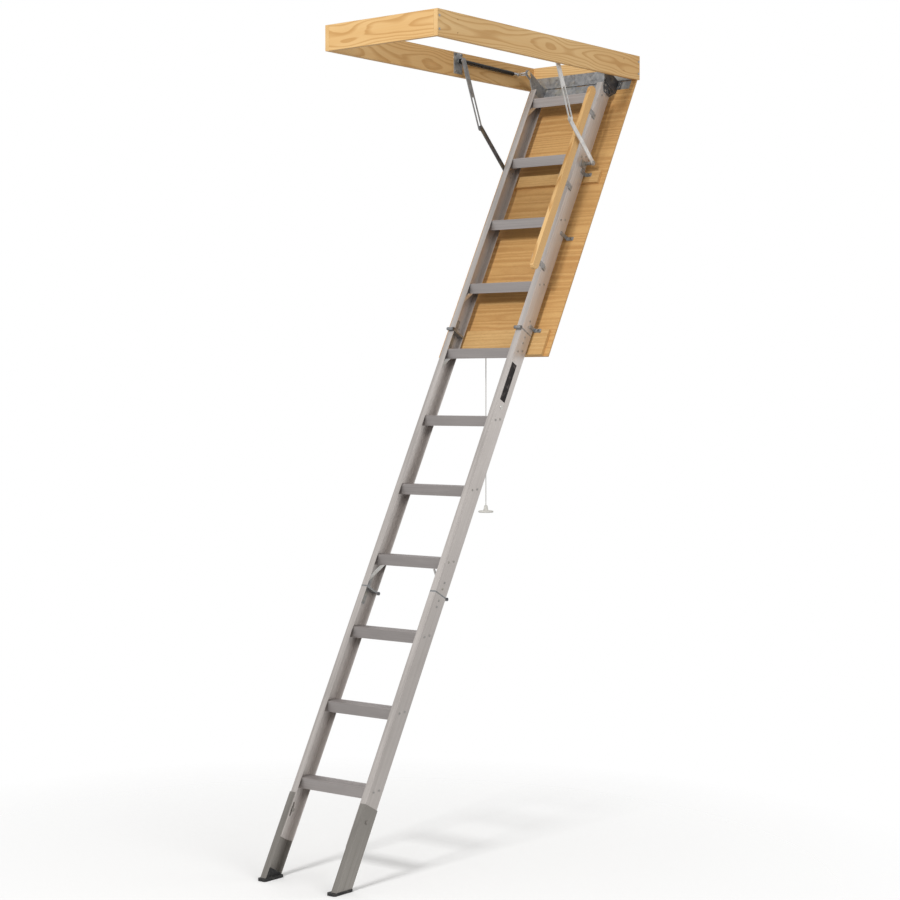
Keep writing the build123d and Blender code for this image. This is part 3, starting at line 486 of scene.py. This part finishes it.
# Length at each end over which the curve is held plumb.
CORD_STRAIGHT = 0.024
HANGING_CORD_R = 0.002
CORD_ROUTE = (
    (CORD_X, CORD_Y, CORD_TOP),
    (CORD_X, CORD_Y, CORD_TOP - CORD_STRAIGHT),
    (CORD_X, CORD_Y, CORD_BOTTOM + CORD_STRAIGHT),
    (CORD_X, CORD_Y, CORD_BOTTOM),
)


def make_cord():
    curve = bpy.data.curves.new("cord", "CURVE")
    curve.dimensions = "3D"
    curve.bevel_depth = HANGING_CORD_R
    curve.bevel_resolution = 4
    curve.use_fill_caps = True
    spline = curve.splines.new("NURBS")
    spline.points.add(len(CORD_ROUTE) - 1)
    for point, place in zip(spline.points, CORD_ROUTE):
        point.co = (*place, 1.0)
    spline.order_u = 3
    spline.use_endpoint_u = True
    cord = bpy.data.objects.new("hanging_cord", curve)
    bpy.context.scene.collection.objects.link(cord)
    curve.materials.append(MATERIALS["cord"])
    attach(cord, "cord")
    return cord


def cord_loop(bm):
    """Loop of cord through the screw eye, closed by a whipped knot."""
    centre = Vector((CORD_X, CORD_Y, LOOP_Z))
    turns, sides = 28, 10
    rings = []
    for i in range(turns):
        around = 2 * math.pi * i / turns
        out = Vector((math.cos(around), 0.0, math.sin(around)))
        ring = []
        for j in range(sides):
            angle = 2 * math.pi * j / sides
            offset = out * math.cos(angle) + Vector((0.0, math.sin(angle), 0.0))
            ring.append(bm.verts.new(centre + out * LOOP_R + offset * CORD_R))
        rings.append(ring)
    for i in range(turns):
        for j in range(sides):
            near, far = rings[i], rings[(i + 1) % turns]
            k = (j + 1) % sides
            bm.faces.new((near[j], near[k], far[k], far[j]))


def cord_knot(bm):
    """Four wraps and a rounded end, just under the loop."""
    profile = [(0.0012, 0.0), (0.0030, 0.0004)]
    for wrap in range(4):
        low = 0.0010 + wrap * 0.0024
        profile += [(0.0036, low), (0.0047, low + 0.0006)]
        profile += [(0.0047, low + 0.0016), (0.0036, low + 0.0022)]
    profile += [(0.0028, 0.0112), (0.0012, 0.0118)]
    lathe(bm, Matrix.Translation((CORD_X, CORD_Y, LOOP_Z - 0.0160)), profile)


# ---------------------------------------------------------------- bolt heads
BRACKET_BOLTS = ((0.485, 0.017), (0.787, 0.002), (1.230, 0.017))
BRACKET_BOLT_Y = 0.208
POWER_ARM_BOLTS = ((0.020, 0.004), (0.038, 0.004))
POWER_ARM_BOLT_Y = 0.204
ANCHOR_BOLTS = ((0.104, 0.020), (0.142, 0.020), (0.142, 0.090), (0.104, 0.090))
ANCHOR_HEAD_Y = 0.2551
HEX_RADIUS, HEX_HEIGHT = 0.0048, 0.0022
LABEL_RIVET = (1.604, 0.062, -0.1865)


def hex_heads(places):
    """Mesh maker for chamfered hexagon heads on (point, direction) pairs."""
    profile = [(HEX_RADIUS * 0.90, -0.0002), (HEX_RADIUS, 0.0003)]
    profile += [(HEX_RADIUS, HEX_HEIGHT - 0.0006), (HEX_RADIUS * 0.86, HEX_HEIGHT)]

    def fill(bm):
        for point, direction in places:
            lathe(bm, facing(point, direction), profile, sides=6)

    return fill


def label_rivet(bm):
    """Domed rivet on a washer, below the label strip on the near rail."""
    place = facing(ladder_point(*LABEL_RIVET), Vector((0.0, -1.0, 0.0)))
    profile = [(0.0088, 0.0), (0.0092, 0.0003), (0.0090, 0.0011), (0.0052, 0.0012), (0.0049, 0.0021)]
    lathe(bm, place, profile + [(0.0036, 0.0029), (0.0014, 0.0033)])


def make_bolt_heads():
    door, ceiling = [], []
    for side in (-1, 1):
        for stations, y in ((BRACKET_BOLTS, BRACKET_BOLT_Y), (POWER_ARM_BOLTS, POWER_ARM_BOLT_Y)):
            for s, off in stations:
                door.append((ladder_point(s, off, side * y), OUT))
        for x, z in ANCHOR_BOLTS:
            ceiling.append((Vector((x, side * ANCHOR_HEAD_Y, z)), Vector((0.0, -side, 0.0))))
    piece("door_hex_heads", hex_heads(door), "bolt_heads", "door")
    piece("frame_hex_heads", hex_heads(ceiling), "bolt_heads", "frame")
    piece("label_rivet", label_rivet, "bright_and_lit_steel", "middle_section")


# ---------------------------------------------------------------- stage
CAMERA_PLACE = (-6.417, -4.911, -1.310)
CAMERA_AZIMUTH, CAMERA_PITCH = -51.44, -1.73
CAMERA_SENSOR, CAMERA_LENS = 36.0, 79.4
CENTRE = (-0.25, 0.0, -1.45)
UPPER = (0.2, 0.0, -0.6)
# Name, place, target, side of the square and power in watts.
LIGHTS = (
    ("key", (-5.8, -0.5, 2.9), UPPER, 1.2, 250.0),
    ("front", (-6.5, -1.6, 1.6), CENTRE, 3.0, 35.0),
    ("side", (-1.6, -6.4, 0.6), CENTRE, 3.6, 95.0),
    ("right", (3.6, -3.8, -0.8), CENTRE, 3.2, 28.0),
    ("back", (3.5, 4.5, 2.5), CENTRE, 3.0, 50.0),
)
WORLD_LIGHT = 0.5
FLOOR_RADIUS = 14.0
FLOOR_CENTRE_X = -0.9
FADE_START, FADE_END = 0.2, 2.4


def make_camera():
    """Quarter view from the free end, a little below mid-height."""
    azimuth, pitch = math.radians(CAMERA_AZIMUTH), math.radians(CAMERA_PITCH)
    right = Vector((math.cos(azimuth), math.sin(azimuth), 0.0))
    level = Vector((-math.sin(azimuth), math.cos(azimuth), 0.0))
    forward = level * math.cos(pitch) + Vector((0.0, 0.0, math.sin(pitch)))
    up = right.cross(forward)
    data = bpy.data.cameras.new("camera")
    data.sensor_width = CAMERA_SENSOR
    data.lens = CAMERA_LENS
    data.clip_end = 200.0
    camera = bpy.data.objects.new("camera", data)
    bpy.context.scene.collection.objects.link(camera)
    turn = Matrix((right, up, -forward)).transposed().to_4x4()
    camera.matrix_world = Matrix.Translation(CAMERA_PLACE) @ turn
    bpy.context.scene.camera = camera


def area_light(name, place, target, size, power):
    data = bpy.data.lights.new(name, "AREA")
    data.shape = "SQUARE"
    data.size = size
    data.energy = power
    light = bpy.data.objects.new(name, data)
    bpy.context.scene.collection.objects.link(light)
    aim = Vector(target) - Vector(place)
    turn = aim.to_track_quat("-Z", "Y").to_matrix().to_4x4()
    light.matrix_world = Matrix.Translation(place) @ turn
    light.visible_camera = False


def make_world():
    """White surround for the camera, dimmer as light so that the lamps still model the shapes."""
    world = bpy.data.worlds.new("studio")
    bpy.context.scene.world = world
    world.use_nodes = True
    tree = world.node_tree
    tree.nodes.clear()
    output = tree.nodes.new("ShaderNodeOutputWorld")
    seen, light = tree.nodes.new("ShaderNodeBackground"), tree.nodes.new("ShaderNodeBackground")
    seen.inputs["Color"].default_value = (1.0, 1.0, 1.0, 1.0)
    light.inputs["Color"].default_value = (1.0, 0.99, 0.98, 1.0)
    light.inputs["Strength"].default_value = WORLD_LIGHT
    path = tree.nodes.new("ShaderNodeLightPath")
    mix = tree.nodes.new("ShaderNodeMixShader")
    tree.links.new(path.outputs["Is Camera Ray"], mix.inputs[0])
    tree.links.new(light.outputs[0], mix.inputs[1])
    tree.links.new(seen.outputs[0], mix.inputs[2])
    tree.links.new(mix.outputs[0], output.inputs[0])


def make_floor():
    """Pale round floor that fades out round the feet."""
    mesh = bpy.data.meshes.new("floor")
    bm = bmesh.new()
    bmesh.ops.create_circle(bm, cap_ends=True, segments=96, radius=FLOOR_RADIUS)
    bm.to_mesh(mesh)
    bm.free()
    floor = bpy.data.objects.new("floor", mesh)
    floor.location = (FLOOR_CENTRE_X, 0.0, FLOOR_Z)
    bpy.context.scene.collection.objects.link(floor)
    g = Graph("pale_floor", Roughness=0.9, Specular_IOR_Level=0.1)
    here = g.add("TexCoord").outputs["Object"]
    distance = g.add("VectorMath", {0: here}, operation="LENGTH").outputs["Value"]
    fade = g.span(distance, FADE_START, FADE_END)
    g.shader.inputs["Base Color"].default_value = (0.97, 0.97, 0.965, 1.0)
    clear = g.add("BsdfTransparent").outputs[0]
    mix = g.add("MixShader", {0: fade, 1: g.shader.outputs[0], 2: clear})
    output = g.tree.nodes["Material Output"]
    g.put(mix.outputs[0], output.inputs["Surface"])
    mesh.materials.append(g.material)


bpy.context.scene.view_settings.view_transform = "Standard"
make_camera()
cord = make_cord()
loop = piece("cord_loop", cord_loop, "cord", "cord")
knot = piece("cord_knot", cord_knot, "cord", "cord")
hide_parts("pull_cord")
dress_nodes()
make_bolt_heads()
make_world()
for light in LIGHTS:
    area_light(*light)
make_floor()
